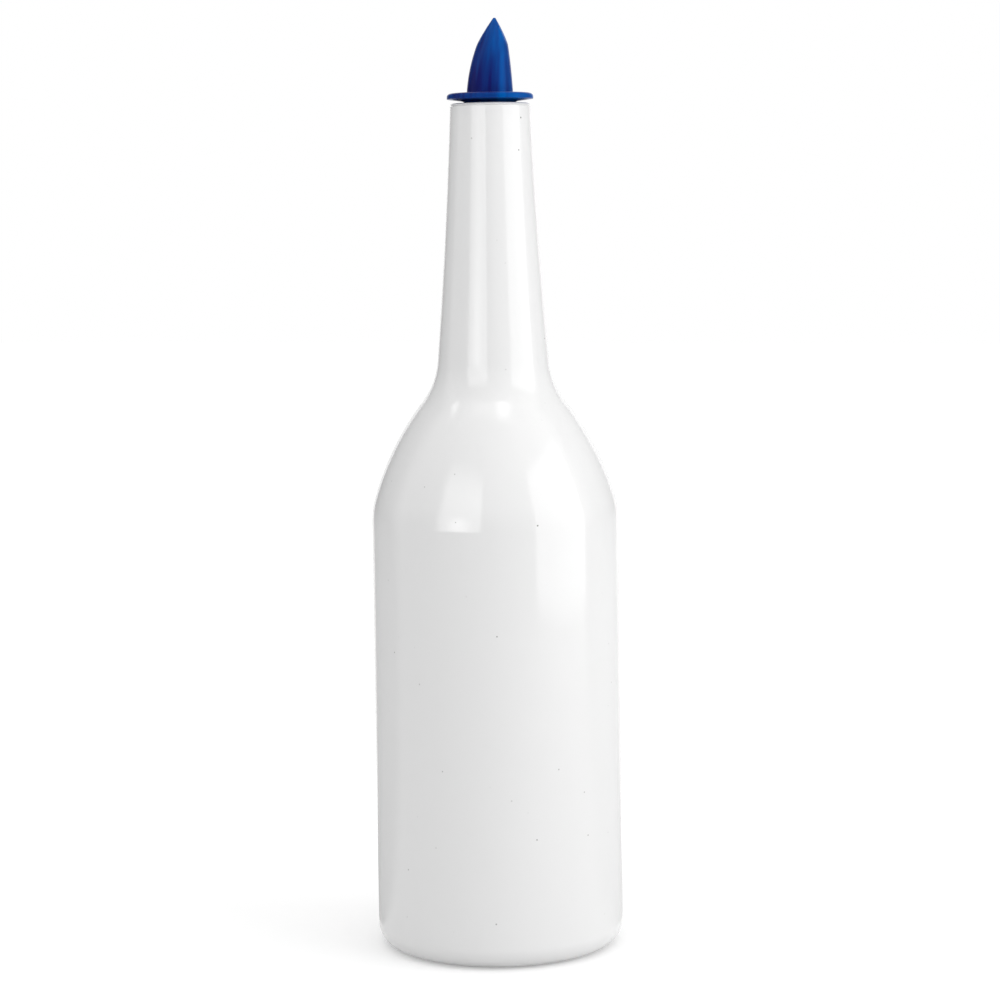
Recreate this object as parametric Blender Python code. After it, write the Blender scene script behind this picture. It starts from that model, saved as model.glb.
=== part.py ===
"""Flair bottle: a hollow blow-moulded practice bottle with a push-in free-flow pourer.

Metres, +Z up. The origin is the centre of the foot, on the surface that the bottle stands on, and the neck's
axis is Z. The spout leans towards +Y and its mouth opens that way. Heights on the pourer are measured from
the bottle's rim.
"""

import math

import bmesh
import bpy

# Bottle, outside
BODY_RADIUS = 0.0400
BODY_STRAIGHT_TOP = 0.1387  # height at which the straight side ends
FOOT_CORNER_RADIUS = 0.0069
FOOT_RING_WIDTH = 0.0050  # flat ring that the bottle stands on
PUSH_UP_HEIGHT = 0.0050  # hollow under the base
SHOULDER_EDGE_RADIUS = 0.0281  # soft corner from the side into the shoulder
SHOULDER_EDGE_TURN = math.radians(16.4)
SHOULDER_RADIUS = 0.0934  # long convex slope
NECK_FILLET_RADIUS = 0.0242  # concave root of the neck
NECK_ROOT_RADIUS = 0.0180
NECK_LENGTH = 0.0820  # from the end of the root's fillet to the rim
NECK_EASING = math.radians(2.6)  # the neck's taper is this much less at the rim than at the root
RIM_RADIUS = 0.0128
RIM_EDGE_RADIUS = 0.0011

# Bottle, inside
BODY_WALL = 0.0022
BASE_WALL = 0.0028
BORE_RADIUS = 0.0095  # calibrated bore that takes the pourer
BORE_LENGTH = 0.0260
BORE_EDGE_RADIUS = 0.0006
BORE_FLARE_LENGTH = 0.0080  # from the bore out to the neck's own wall

# Moulding seam across the hollow under the base
SEAM_LENGTH = 0.0400
SEAM_RADIUS = 0.0007

# Pourer, spout moulding
FLANGE_LIFT = 0.0015  # flange's underside above the rim
FLANGE_RADIUS = 0.0138
FLANGE_THICKNESS = 0.0017  # at the beak's root
FLANGE_EDGE_THICKNESS = 0.0013
FLANGE_EDGE_RADIUS = 0.0010  # rounded upper edge
BOSS_TOP_RADIUS = 0.0088  # tapered boss under the flange
BOSS_BOTTOM_RADIUS = 0.00775
BOSS_DEPTH = 0.0010  # how far the boss reaches below the rim
STEM_RADIUS = 0.0064
BEAD_PROUD = 0.0007  # snap bead that keeps the stopper on the stem
BEAD_HEIGHT = 0.0016
BEAK_HEIGHT = 0.0241  # tip above the flange
BEAK_BASE_RADIUS = 0.0074
BEAK_CHEEK_HEIGHT = 0.0156  # above the flange, where the sides turn in towards the tip
BEAK_CHEEK_HALF_WIDTH = 0.0049
BEAK_CHEEK_BOW = 0.00035  # how far the sides bulge below the cheeks
BEAK_TIP_HALF_WIDTH = 0.0005
BEAK_NIB_BOW = 0.00015  # how far the sides bulge above the cheeks
BEAK_TIP_REACH = 0.0053  # how far the back leans past the axis at the tip
BEAK_BACK_BOW = 0.0028  # how far the back bulges beyond a straight slope
BEAK_FRONT_RAKE = math.radians(8.0)
BEAK_WALL = 0.0012
BEAK_ROOT_FILLET = 0.0004
MOUTH_LIP_HEIGHT = 0.0090  # front of the mouth, above the flange
MOUTH_SCOOP = 0.0010  # how far the mouth's cut bows in from a straight slice
NIB_DEPTH = 0.0008  # front to back at the blunt tip
NIB_CAVITY_HALF_WIDTH = 0.0003  # where the beak's hollow ends under the tip
PASSAGE_RADIUS = 0.0035  # liquid passage through the stem
PASSAGE_OFFSET = 0.00185  # towards the mouth
PASSAGE_FUNNEL_DEPTH = 0.0045  # from the beak's floor down to the round passage

# Pourer, stopper and breather tube
STOPPER_LENGTH = 0.0220
FIN_COUNT = 5
FIN_PITCH = 0.0042
FIN_FIRST = 0.0028  # first fin below the stopper's top
FIN_ROOT_THICKNESS = 0.0013
FIN_TIP_THICKNESS = 0.0006
FIN_SWEEP = 0.0005  # tips sit higher than roots, as fins that were pushed in
STOPPER_LEAD = 0.0020  # height of the tapered lower end
STOPPER_LEAD_DEPTH = 0.00045
TUBE_RADIUS = 0.0013
TUBE_BORE_RADIUS = 0.0008
TUBE_OFFSET = 0.00385  # towards the beak's back
TUBE_ABOVE_FLANGE = 0.0040
TUBE_BELOW_STEM = 0.0130

# Clearances
FIN_CLEARANCE = 0.0003
STEM_CLEARANCE = 0.00025
TUBE_CLEARANCE = 0.0002
SEAT_CLEARANCE = 0.0003  # end faces of the stopper

# Facets
BOTTLE_SEGMENTS = 60
SPOUT_SEGMENTS = 40
STOPPER_SEGMENTS = 40
TUBE_SEGMENTS = 16
MERGE_DISTANCE = 0.000001
SHARP_ANGLE = math.radians(28.0)


def shares(steps):
    """Even shares from 0 to 1, both ends included."""
    return [k / steps for k in range(steps + 1)]


def eased(share):
    """0 to 1 along an S-curve that is level at both ends."""
    return share * share * (3.0 - 2.0 * share)


def arc(centre, radius, start, end, steps):
    """Points (r, z) round centre. An angle of 0 points outwards, and a quarter turn points up."""
    angles = [start + (end - start) * s for s in shares(steps)]
    return [(centre[0] + radius * math.cos(a), centre[1] + radius * math.sin(a)) for a in angles]


# The neck is a very long concave arc, and the shoulder's steepest slope follows from the radii that it joins.
NECK_CHORD_SLOPE = math.atan2(NECK_ROOT_RADIUS - RIM_RADIUS, NECK_LENGTH)
NECK_ROOT_SLOPE = NECK_CHORD_SLOPE + NECK_EASING / 2
NECK_RIM_SLOPE = NECK_CHORD_SLOPE - NECK_EASING / 2
NECK_ARC_RADIUS = NECK_LENGTH / (math.sin(NECK_ROOT_SLOPE) - math.sin(NECK_RIM_SLOPE))
SHOULDER_SLOPE = math.acos(
    (
        SHOULDER_EDGE_RADIUS * (1.0 - math.cos(SHOULDER_EDGE_TURN))
        + SHOULDER_RADIUS * math.cos(SHOULDER_EDGE_TURN)
        + NECK_FILLET_RADIUS * math.cos(NECK_ROOT_SLOPE)
        - (BODY_RADIUS - NECK_ROOT_RADIUS)
    )
    / (SHOULDER_RADIUS + NECK_FILLET_RADIUS)
)
SHOULDER_HEIGHT = (
    SHOULDER_EDGE_RADIUS * math.sin(SHOULDER_EDGE_TURN)
    + SHOULDER_RADIUS * (math.sin(SHOULDER_SLOPE) - math.sin(SHOULDER_EDGE_TURN))
    + NECK_FILLET_RADIUS * (math.sin(SHOULDER_SLOPE) - math.sin(NECK_ROOT_SLOPE))
)
NECK_ROOT_HEIGHT = BODY_STRAIGHT_TOP + SHOULDER_HEIGHT
RIM_HEIGHT = NECK_ROOT_HEIGHT + NECK_LENGTH

# Levels on the pourer, above (+) or below (-) the rim
FLANGE_TOP = FLANGE_LIFT + FLANGE_THICKNESS
STOPPER_TOP = -BOSS_DEPTH - SEAT_CLEARANCE
STOPPER_BOTTOM = STOPPER_TOP - STOPPER_LENGTH
STEM_BOTTOM = STOPPER_BOTTOM - SEAT_CLEARANCE - BEAD_HEIGHT
TUBE_TOP = FLANGE_TOP + TUBE_ABOVE_FLANGE
TUBE_BOTTOM = STEM_BOTTOM - TUBE_BELOW_STEM


def shoulder_outline(inset):
    """Outline from the top of the straight side to the neck's root, moved inwards by inset.

    Each bend turns the slope, measured from the vertical. A growing slope is convex and a falling one is
    concave, and a point is its bend's centre plus or minus the radius along the surface normal.
    """
    bends = [
        (SHOULDER_EDGE_RADIUS, 0.0, SHOULDER_EDGE_TURN, 4),
        (SHOULDER_RADIUS, SHOULDER_EDGE_TURN, SHOULDER_SLOPE, 5),
        (-NECK_FILLET_RADIUS, SHOULDER_SLOPE, NECK_ROOT_SLOPE, 6),
    ]
    r, z = BODY_RADIUS, BODY_STRAIGHT_TOP
    points = [(r - inset, z)]
    for radius, start, end, steps in bends:
        centre_r = r - radius * math.cos(start)
        centre_z = z - radius * math.sin(start)
        points += arc((centre_r, centre_z), radius - inset, start, end, steps)[1:]
        r = centre_r + radius * math.cos(end)
        z = centre_z + radius * math.sin(end)
    return points


def neck_radius(height):
    """Outer radius of the neck at a height above the bottle's foot, on the neck's long concave arc."""
    slope = math.asin(math.sin(NECK_ROOT_SLOPE) - (height - NECK_ROOT_HEIGHT) / NECK_ARC_RADIUS)
    return NECK_ROOT_RADIUS - NECK_ARC_RADIUS * (math.cos(slope) - math.cos(NECK_ROOT_SLOPE))


def neck_outline(top, inset, steps):
    """Outline from just above the neck's root to the height top."""
    heights = [NECK_ROOT_HEIGHT + (top - NECK_ROOT_HEIGHT) * s for s in shares(steps)[1:]]
    return [(neck_radius(z) - inset, z) for z in heights]


def push_up_height(radius):
    """Height of the hollow under the base: half a cosine wave from the axis to the foot ring."""
    edge = BODY_RADIUS - FOOT_CORNER_RADIUS - FOOT_RING_WIDTH
    return PUSH_UP_HEIGHT * (0.5 + 0.5 * math.cos(math.pi * min(radius / edge, 1.0)))


def bottle_outline():
    """Outline of the shell's section: up the outside from the axis, over the rim and down the inside."""
    corner_r = BODY_RADIUS - FOOT_CORNER_RADIUS
    ring_r = corner_r - FOOT_RING_WIDTH
    outside = [(ring_r * s, push_up_height(ring_r * s)) for s in shares(6)]
    outside += arc((corner_r, FOOT_CORNER_RADIUS), FOOT_CORNER_RADIUS, -math.pi / 2, 0.0, 6)
    outside += shoulder_outline(0.0)
    edge_lift = RIM_EDGE_RADIUS * (1.0 - math.sin(NECK_RIM_SLOPE))
    outside += neck_outline(RIM_HEIGHT - edge_lift, 0.0, 5)[:-1]
    edge_r = RIM_RADIUS + edge_lift * math.tan(NECK_RIM_SLOPE) - RIM_EDGE_RADIUS * math.cos(NECK_RIM_SLOPE)
    rim = arc((edge_r, RIM_HEIGHT - RIM_EDGE_RADIUS), RIM_EDGE_RADIUS, NECK_RIM_SLOPE, math.pi / 2, 4)
    rim += arc(
        (BORE_RADIUS + BORE_EDGE_RADIUS, RIM_HEIGHT - BORE_EDGE_RADIUS),
        BORE_EDGE_RADIUS,
        math.pi / 2,
        math.pi,
        2,
    )
    bore_bottom = RIM_HEIGHT - BORE_LENGTH
    flare_bottom = bore_bottom - BORE_FLARE_LENGTH
    flare_r = neck_radius(flare_bottom) - BODY_WALL
    flare = [
        (BORE_RADIUS + (flare_r - BORE_RADIUS) * eased(s), bore_bottom - BORE_FLARE_LENGTH * s)
        for s in shares(4)
    ]
    neck = neck_outline(flare_bottom, BODY_WALL, 3)[-2::-1]
    shoulder = shoulder_outline(BODY_WALL)[::-1]
    inner_corner = FOOT_CORNER_RADIUS - BODY_WALL
    floor = arc((corner_r, BASE_WALL + inner_corner), inner_corner, 0.0, -math.pi / 2, 4)
    floor += [(ring_r * s, BASE_WALL + push_up_height(ring_r * s)) for s in shares(5)[::-1]]
    return outside + rim + flare + neck + shoulder + floor


def stopper_outline():
    """Closed section of the ribbed sleeve: down the outside over its fins, and up the bore."""
    core_r = BOSS_BOTTOM_RADIUS
    fin_r = BORE_RADIUS - FIN_CLEARANCE
    bore_r = STEM_RADIUS + STEM_CLEARANCE
    points = [(core_r, STOPPER_TOP)]
    for index in range(FIN_COUNT):
        root = STOPPER_TOP - FIN_FIRST - FIN_PITCH * index
        tip = root + FIN_SWEEP
        points += [
            (core_r, root + FIN_ROOT_THICKNESS / 2),
            (fin_r, tip + FIN_TIP_THICKNESS / 2),
            (fin_r, tip - FIN_TIP_THICKNESS / 2),
            (core_r, root - FIN_ROOT_THICKNESS / 2),
        ]
    lead_top = STOPPER_BOTTOM + STOPPER_LEAD
    if points[-1][1] > lead_top:
        points.append((core_r, lead_top))
    points += [
        (core_r - STOPPER_LEAD_DEPTH, STOPPER_BOTTOM),
        (bore_r, STOPPER_BOTTOM),
        (bore_r, STOPPER_TOP),
    ]
    return points


def circle(radius, height, offset=0.0):
    """Ring of points, from the back (-Y) round by +X. The offset moves it towards the mouth."""
    turns = [2.0 * math.pi * k / SPOUT_SEGMENTS for k in range(SPOUT_SEGMENTS)]
    return [(radius * math.sin(a), offset - radius * math.cos(a), height) for a in turns]


def bowed(start, end, bow, share):
    """A straight run from start to end, plus a parabola that stands bow off it half way."""
    return start + (end - start) * share + 4.0 * bow * share * (1.0 - share)


def beak_half_width(height):
    """Half the beak's width: one bowed taper up to the cheeks, and a steeper one from there to the tip."""
    if height <= BEAK_CHEEK_HEIGHT:
        share = height / BEAK_CHEEK_HEIGHT
        return bowed(BEAK_BASE_RADIUS, BEAK_CHEEK_HALF_WIDTH, BEAK_CHEEK_BOW, share)
    share = (height - BEAK_CHEEK_HEIGHT) / (BEAK_HEIGHT - BEAK_CHEEK_HEIGHT)
    return bowed(BEAK_CHEEK_HALF_WIDTH, BEAK_TIP_HALF_WIDTH, BEAK_NIB_BOW, share)


def beak_back(height):
    """The beak's back edge, seen from the side: a bowed slope from the root to the tip."""
    return bowed(-BEAK_BASE_RADIUS, BEAK_TIP_REACH, -BEAK_BACK_BOW, height / BEAK_HEIGHT)


def beak_front(height):
    """The beak's front edge, seen from the side: a straight raked line."""
    return BEAK_BASE_RADIUS + height * math.tan(BEAK_FRONT_RAKE)


def beak_ring(height, inset):
    """Level section of the beak, moved inwards by inset.

    The back half is round, so its widest line lies one half-width in front of the back. The front half is an
    ellipse from there to the front edge.
    """
    half_width = beak_half_width(height)
    widest = beak_back(height) + half_width
    ring = []
    for k in range(SPOUT_SEGMENTS):
        turn = 2.0 * math.pi * k / SPOUT_SEGMENTS
        depth = half_width if math.cos(turn) >= 0.0 else beak_front(height) - widest
        x = (half_width - inset) * math.sin(turn)
        y = widest - (depth - inset) * math.cos(turn)
        ring.append((x, y, FLANGE_TOP + height))
    return ring


def beak_heights(base, top):
    """Heights of the beak's sections: even steps from base to the cheeks, and from there to top."""
    lower = [base + (BEAK_CHEEK_HEIGHT - base) * s for s in shares(6)]
    upper = [BEAK_CHEEK_HEIGHT + (top - BEAK_CHEEK_HEIGHT) * s for s in shares(4)[1:]]
    return lower + upper


def mixed(ring_a, ring_b, share):
    """Ring between two rings: level by the share, and inwards along an S-curve."""
    side = eased(share)
    return [
        (a[0] + (b[0] - a[0]) * side, a[1] + (b[1] - a[1]) * side, a[2] + (b[2] - a[2]) * share)
        for a, b in zip(ring_a, ring_b)
    ]


def spout_rings():
    """Rings of the spout moulding's outside, from the end of the stem up to the beak's tip."""
    bead_r = STEM_RADIUS + BEAD_PROUD
    rings = [
        circle(STEM_RADIUS, STEM_BOTTOM),
        circle(bead_r, STEM_BOTTOM + BEAD_HEIGHT / 2),
        circle(bead_r, STEM_BOTTOM + BEAD_HEIGHT * 0.75),
        circle(STEM_RADIUS, STEM_BOTTOM + BEAD_HEIGHT),
        circle(STEM_RADIUS, -BOSS_DEPTH),
        circle(BOSS_BOTTOM_RADIUS, -BOSS_DEPTH),
        circle(BOSS_TOP_RADIUS, FLANGE_LIFT),
        circle(FLANGE_RADIUS, FLANGE_LIFT),
    ]
    edge_top = FLANGE_LIFT + FLANGE_EDGE_THICKNESS
    edge_centre = (FLANGE_RADIUS - FLANGE_EDGE_RADIUS, edge_top - FLANGE_EDGE_RADIUS)
    for r, z in arc(edge_centre, FLANGE_EDGE_RADIUS, 0.0, math.pi / 2, 4):
        rings.append(circle(r, z))
    fillet_centre = (BEAK_BASE_RADIUS + BEAK_ROOT_FILLET, FLANGE_TOP + BEAK_ROOT_FILLET)
    for r, z in arc(fillet_centre, BEAK_ROOT_FILLET, -math.pi / 2, -math.pi, 2)[:-1]:
        rings.append(circle(r, z))
    return rings + [beak_ring(h, 0.0) for h in beak_heights(BEAK_ROOT_FILLET, BEAK_HEIGHT)]


def hollow_rings():
    """Rings of the space inside the spout: the round passage, the funnel and the hollow of the beak."""
    nib_share = (BEAK_CHEEK_HALF_WIDTH - BEAK_WALL - NIB_CAVITY_HALF_WIDTH) / (
        BEAK_CHEEK_HALF_WIDTH - BEAK_TIP_HALF_WIDTH
    )
    top = BEAK_CHEEK_HEIGHT + (BEAK_HEIGHT - BEAK_CHEEK_HEIGHT) * nib_share
    beak = [beak_ring(h, BEAK_WALL) for h in beak_heights(BEAK_ROOT_FILLET, top)]
    funnel_bottom = FLANGE_TOP + BEAK_ROOT_FILLET - PASSAGE_FUNNEL_DEPTH
    passage = circle(PASSAGE_RADIUS, funnel_bottom, PASSAGE_OFFSET)
    funnel = [mixed(passage, beak[0], s) for s in shares(4)]
    below = circle(PASSAGE_RADIUS, STEM_BOTTOM - BEAD_HEIGHT, PASSAGE_OFFSET)
    return [below] + funnel + beak[1:]


def mouth_rings():
    """Both sides of the block that scoops out the mouth. Its back face bows in between the lip and the nib."""
    lip_y = beak_front(MOUTH_LIP_HEIGHT)
    section = []
    for share in shares(12):
        along = 1.5 * share - 0.25
        y = bowed(lip_y, BEAK_TIP_REACH + NIB_DEPTH, -MOUTH_SCOOP, along)
        section.append((y, FLANGE_TOP + MOUTH_LIP_HEIGHT + (BEAK_HEIGHT - MOUTH_LIP_HEIGHT) * along))
    clear_y = lip_y + BEAK_HEIGHT
    section += [(clear_y, section[-1][1]), (clear_y, section[0][1])]
    return [[(side * BEAK_BASE_RADIUS * 2, y, z) for y, z in section] for side in (-1.0, 1.0)]


def tube_rings():
    """Rings of the breather tube: up its outside, and down its bore. Its lower end is cut at 45 degrees."""
    rings = []
    for radius, level in (
        (TUBE_RADIUS, TUBE_BOTTOM),
        (TUBE_RADIUS, TUBE_TOP),
        (TUBE_BORE_RADIUS, TUBE_TOP),
        (TUBE_BORE_RADIUS, TUBE_BOTTOM),
    ):
        ring = []
        for k in range(TUBE_SEGMENTS):
            turn = 2.0 * math.pi * k / TUBE_SEGMENTS
            x = radius * math.sin(turn)
            y = radius * math.cos(turn)
            slant = y + TUBE_RADIUS if level == TUBE_BOTTOM else 0.0
            ring.append((x, y, level + slant))
        rings.append(ring)
    return rings


def seam_rings():
    """Rings along the seam bar, which follows the hollow under the base and thins towards both ends."""
    sides = 8
    rings = []
    for share in shares(11):
        x = SEAM_LENGTH * (share - 0.5)
        radius = SEAM_RADIUS * (0.4 + 0.6 * math.sin(math.pi * share))
        centre_z = push_up_height(abs(x))
        turns = [2.0 * math.pi * (k + 0.5) / sides for k in range(sides)]
        rings.append([(x, radius * math.cos(a), centre_z + radius * math.sin(a)) for a in turns])
    return rings


def material(name, colour, roughness, transmission=0.0):
    """Moulded plastic of one colour."""
    made = bpy.data.materials.new(name)
    made.use_nodes = True
    shader = made.node_tree.nodes["Principled BSDF"]
    shader.inputs["Base Color"].default_value = (*colour, 1.0)
    shader.inputs["Roughness"].default_value = roughness
    shader.inputs["Metallic"].default_value = 0.0
    shader.inputs["Transmission Weight"].default_value = transmission
    return made


def placed(name, shape, finish, parent=None):
    """Turns a bmesh into an object with outward faces and smooth shading, under its parent."""
    bmesh.ops.recalc_face_normals(shape, faces=shape.faces)
    mesh = bpy.data.meshes.new(name)
    shape.to_mesh(mesh)
    shape.free()
    mesh.shade_smooth()
    mesh.set_sharp_from_angle(angle=SHARP_ANGLE)
    if finish is not None:
        mesh.materials.append(finish)
    made = bpy.data.objects.new(name, mesh)
    bpy.context.scene.collection.objects.link(made)
    made.parent = parent
    return made


def turned(outline, segments, closed):
    """Spins a section about Z. It is a closed loop, or a line that starts and ends on the axis."""
    shape = bmesh.new()
    corners = [shape.verts.new((r, 0.0, z)) for r, z in outline]
    follows = corners[1:] + corners[:1] if closed else corners[1:]
    edges = [shape.edges.new(pair) for pair in zip(corners, follows)]
    bmesh.ops.spin(
        shape,
        geom=corners + edges,
        cent=(0.0, 0.0, 0.0),
        axis=(0.0, 0.0, 1.0),
        angle=2.0 * math.pi,
        steps=segments,
        use_merge=True,
    )
    bmesh.ops.remove_doubles(shape, verts=shape.verts, dist=MERGE_DISTANCE)
    return shape


def skinned(rings, closed):
    """Joins each ring to the next with quads. A closed skin also joins the last ring to the first."""
    shape = bmesh.new()
    loops = [[shape.verts.new(point) for point in ring] for ring in rings]
    follows = loops[1:] + loops[:1] if closed else loops[1:]
    for lower, upper in zip(loops, follows):
        for k in range(len(lower)):
            n = (k + 1) % len(lower)
            shape.faces.new((lower[k], lower[n], upper[n], upper[k]))
    if not closed:
        shape.faces.new(loops[0])
        shape.faces.new(loops[-1])
    return shape


def hidden(made):
    """Marks a shape that only cuts or joins another."""
    made.hide_render = True
    made.display_type = "WIRE"
    return made


def boolean(target, operation, other):
    """Adds an exact Boolean that stays live on the target."""
    step = target.modifiers.new(other.name, "BOOLEAN")
    step.operation = operation
    step.solver = "EXACT"
    step.object = other


def pivot(name, height, parent=None):
    """Empty on the neck's axis, at a height above its parent's."""
    made = bpy.data.objects.new(name, None)
    made.empty_display_size = BODY_RADIUS
    made.location = (0.0, 0.0, height)
    made.parent = parent
    bpy.context.scene.collection.objects.link(made)
    return made


def make_bottle():
    """White shell, with the moulding seam joined to the hollow under its base."""
    finish = material("white_moulded_plastic", (0.86, 0.86, 0.86), 0.18)
    shell = placed("bottle_shell", turned(bottle_outline(), BOTTLE_SEGMENTS, False), finish)
    seam = hidden(placed("seam_bar", skinned(seam_rings(), False), None))
    boolean(shell, "UNION", seam)


def make_spout(parent):
    """Blue moulding: beak, flange, boss and stem, with a hole for the breather tube beside the passage."""
    finish = material("blue_moulded_plastic", (0.012, 0.065, 0.30), 0.30)
    spout = placed("pourer_spout", skinned(spout_rings(), False), finish, parent)
    boolean(spout, "DIFFERENCE", hidden(placed("spout_hollow", skinned(hollow_rings(), False), None, parent)))
    boolean(spout, "DIFFERENCE", hidden(placed("mouth_slice", skinned(mouth_rings(), False), None, parent)))
    hole_bottom = STEM_BOTTOM - BEAD_HEIGHT
    hole_top = FLANGE_TOP + TUBE_ABOVE_FLANGE / 2
    drill = bmesh.new()
    bmesh.ops.create_cone(
        drill,
        cap_ends=True,
        segments=TUBE_SEGMENTS,
        radius1=TUBE_RADIUS + TUBE_CLEARANCE,
        radius2=TUBE_RADIUS + TUBE_CLEARANCE,
        depth=hole_top - hole_bottom,
    )
    hole = hidden(placed("tube_hole_drill", drill, None, parent))
    hole.location = (0.0, -TUBE_OFFSET, (hole_top + hole_bottom) / 2)
    boolean(spout, "DIFFERENCE", hole)


def make_stopper(parent):
    """Soft ribbed sleeve round the stem."""
    finish = material("black_soft_plastic", (0.02, 0.02, 0.022), 0.55)
    placed("pourer_stopper", turned(stopper_outline(), STOPPER_SEGMENTS, True), finish, parent)


def make_tube(parent):
    """Clear air tube, which stands in the beak above and in the neck below."""
    finish = material("clear_plastic", (0.80, 0.82, 0.82), 0.25, 0.6)
    tube = placed("breather_tube", skinned(tube_rings(), True), finish, parent)
    tube.location = (0.0, -TUBE_OFFSET, 0.0)


def main():
    for old in list(bpy.data.objects):
        bpy.data.objects.remove(old, do_unlink=True)
    make_bottle()
    pull_axis = pivot("stopper_pull_axis", RIM_HEIGHT)
    turn_axis = pivot("spout_turn_axis", 0.0, pull_axis)
    make_stopper(pull_axis)
    make_spout(turn_axis)
    make_tube(turn_axis)
    bpy.context.view_layer.update()


main()
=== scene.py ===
import math

import bmesh
import bpy
import numpy as np
from mathutils import Matrix, Vector


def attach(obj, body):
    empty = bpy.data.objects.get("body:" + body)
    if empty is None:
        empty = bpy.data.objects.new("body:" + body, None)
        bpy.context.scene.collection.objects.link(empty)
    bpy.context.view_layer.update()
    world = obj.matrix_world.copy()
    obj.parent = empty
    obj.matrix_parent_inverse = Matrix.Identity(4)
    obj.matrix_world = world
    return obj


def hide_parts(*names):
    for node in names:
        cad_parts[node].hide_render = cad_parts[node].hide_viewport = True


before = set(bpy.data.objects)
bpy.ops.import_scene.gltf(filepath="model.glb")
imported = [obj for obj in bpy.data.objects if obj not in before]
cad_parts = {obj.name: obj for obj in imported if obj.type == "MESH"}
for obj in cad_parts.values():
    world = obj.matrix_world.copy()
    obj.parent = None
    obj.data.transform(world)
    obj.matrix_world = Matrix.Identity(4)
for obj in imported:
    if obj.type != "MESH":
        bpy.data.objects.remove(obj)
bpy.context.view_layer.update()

# Flair bottle: the visible surfaces, finishes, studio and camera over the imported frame. Sizes are in millimetres,
# as the mould's maker would give them, and each mesh is scaled to metres once, when it is made. Z is the neck's
# axis, and the spout leans towards +Y.

MM = 0.001

# Bottle, outside
BODY_RADIUS = 40.0
STRAIGHT_TOP = 138.7
FOOT_CORNER = 6.9
FOOT_RING = 5.0
PUSH_UP = 5.0
SHOULDER_EDGE = 28.1
SHOULDER_EDGE_TURN = math.radians(16.4)
SHOULDER_CURVE = 93.4
NECK_FILLET = 24.2
NECK_ROOT = 18.0
NECK_LENGTH = 82.0
NECK_EASING = math.radians(2.6)
RIM_RADIUS = 12.8
LIP_ROUND = 1.2
LIP_HEIGHT = 0.5
TRIM_LINE = 0.5
TRIM_DEPTH = 0.4

# Bottle, inside
WALL = 2.2
BASE_WALL = 2.8
BORE_RADIUS = 9.5
BORE_LENGTH = 26.0
BORE_EDGE = 0.6
BORE_FLARE = 8.0

# Seam that the mould pinches off under the base
SEAM_LENGTH = 40.0
SEAM_RADIUS = 0.7

# Spout moulding: heights are from the rim, and the beak's are from the flange's top
FLANGE_LIFT = 1.35
FLANGE_RADIUS = 13.8
FLANGE_TOP = 3.2
FLANGE_SIDE = 1.15
FLANGE_ROUND = 0.8
FLANGE_DROP = 0.65
BOSS_TOP_RADIUS = 8.8
BOSS_BOTTOM_RADIUS = 7.75
BOSS_DEPTH = 1.0
BOSS_FOOT = 0.05
STEM_RADIUS = 6.4
STEM_BOTTOM = -25.2
BEAD_PROUD = 0.7
BEAD_HEIGHT = 1.6
BEAK_HEIGHT = 24.1
BEAK_BASE = 7.4
BEAK_FILLET = 0.4
CHEEK_HEIGHT = 15.6
CHEEK_HALF_WIDTH = 4.9
CHEEK_BOW = 0.35
CHEEK_SOFTNESS = 0.06
TIP_HALF_WIDTH = 0.3
NIB_BOW = 0.15
TIP_REACH = 5.3
BACK_BOW = 2.8
FRONT_RAKE = math.radians(8.0)
BEAK_WALL = 1.2
MOUTH_LIP = 9.0
MOUTH_SCOOP = 1.0
NIB_DEPTH = 0.8
NIB_CAVITY = 0.3
PASSAGE_RADIUS = 3.5
PASSAGE_OFFSET = 1.85
FUNNEL_DEPTH = 4.5
MOULDED_EDGE = 0.2

# Stopper and breather tube
STOPPER_TOP = -1.3
STOPPER_LENGTH = 22.0
FIN_COUNT = 5
FIN_PITCH = 4.2
FIN_FIRST = 2.8
FIN_RADIUS = 9.2
FIN_ROOT = 1.3
FIN_TIP = 0.6
FIN_SWEEP = 0.5
STOPPER_BORE = 6.65
STOPPER_LEAD_DEPTH = 0.45
TUBE_RADIUS = 1.3
TUBE_BORE = 0.8
TUBE_OFFSET = -3.85
TUBE_TOP = 7.2
TUBE_BOTTOM = -38.2

# Points round each piece, how near points fall together, and the angle from which an edge stays sharp
BOTTLE_COLUMNS = 240
SPOUT_COLUMNS = 200
STOPPER_COLUMNS = 160
TUBE_COLUMNS = 48
SEAM_COLUMNS = 16
MERGE = 0.0002
CREASE = math.radians(50.0)

# Camera, from the photograph's outline
CAMERA_TURN = math.radians(17.5)
CAMERA_DISTANCE = 878.05
CAMERA_HEIGHT = 236.76
CAMERA_PITCH = math.radians(5.954)
CAMERA_PAN = math.radians(0.098)
CAMERA_ROLL = math.radians(0.757)
CAMERA_LENS = 98.197
CAMERA_SENSOR = 36.0

# Studio, where 1 is white. A place is a direction past the camera and an angle above level, both in degrees, then a
# distance from the bottle's axis and a height. A size is a width and a height.
# Lamps: name, place, size and brightness
SOFTBOXES = (
    ("left_softbox", (-35.7, 0.0, 900.0, 555.0), (764.0, 990.0), 0.32),
    ("right_softbox", (64.0, 0.0, 700.0, 402.0), (683.0, 795.0), 1.58),
    ("overhead_softbox", (0.0, 90.0, 1300.0, 0.0), (1700.0, 1700.0), 0.76),
)
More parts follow.
